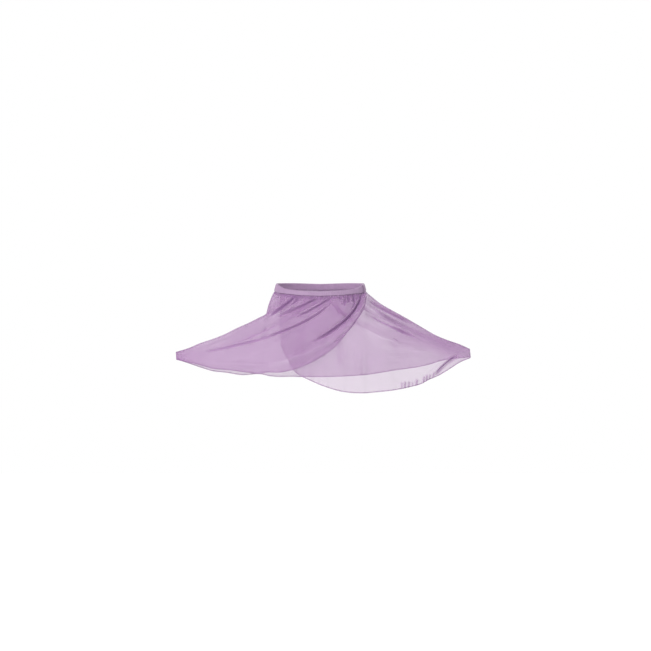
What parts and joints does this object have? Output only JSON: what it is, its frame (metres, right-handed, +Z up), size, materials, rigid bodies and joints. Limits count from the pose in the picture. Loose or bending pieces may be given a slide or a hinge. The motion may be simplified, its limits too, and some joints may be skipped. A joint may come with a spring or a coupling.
{
  "type": "child's ballet skirt",
  "caption": "Sheer mock-wrap ballet skirt with a gathered elastic waistband, crossed front panels and one back panel, drawn out to a point at each side.",
  "frame": {"origin": "middle of the waist opening at the height of the front of the waistband, where the wearer holds the skirt up", "axes": "+Z up out of the waist, +X towards the wearer's left held corner, -Y towards the front"},
  "size_m": [0.6704, 0.1985, 0.241],
  "materials": {
    "waistband_cloth": "matt gathered georgette over elastic",
    "skirt_cloth": "sheer matt georgette"
  },
  "bodies": {
    "root": {"waistband": "waistband_cloth", "outer_front": "skirt_cloth", "under_front": "skirt_cloth", "back_panel": "skirt_cloth"}
  },
  "joints": []
}
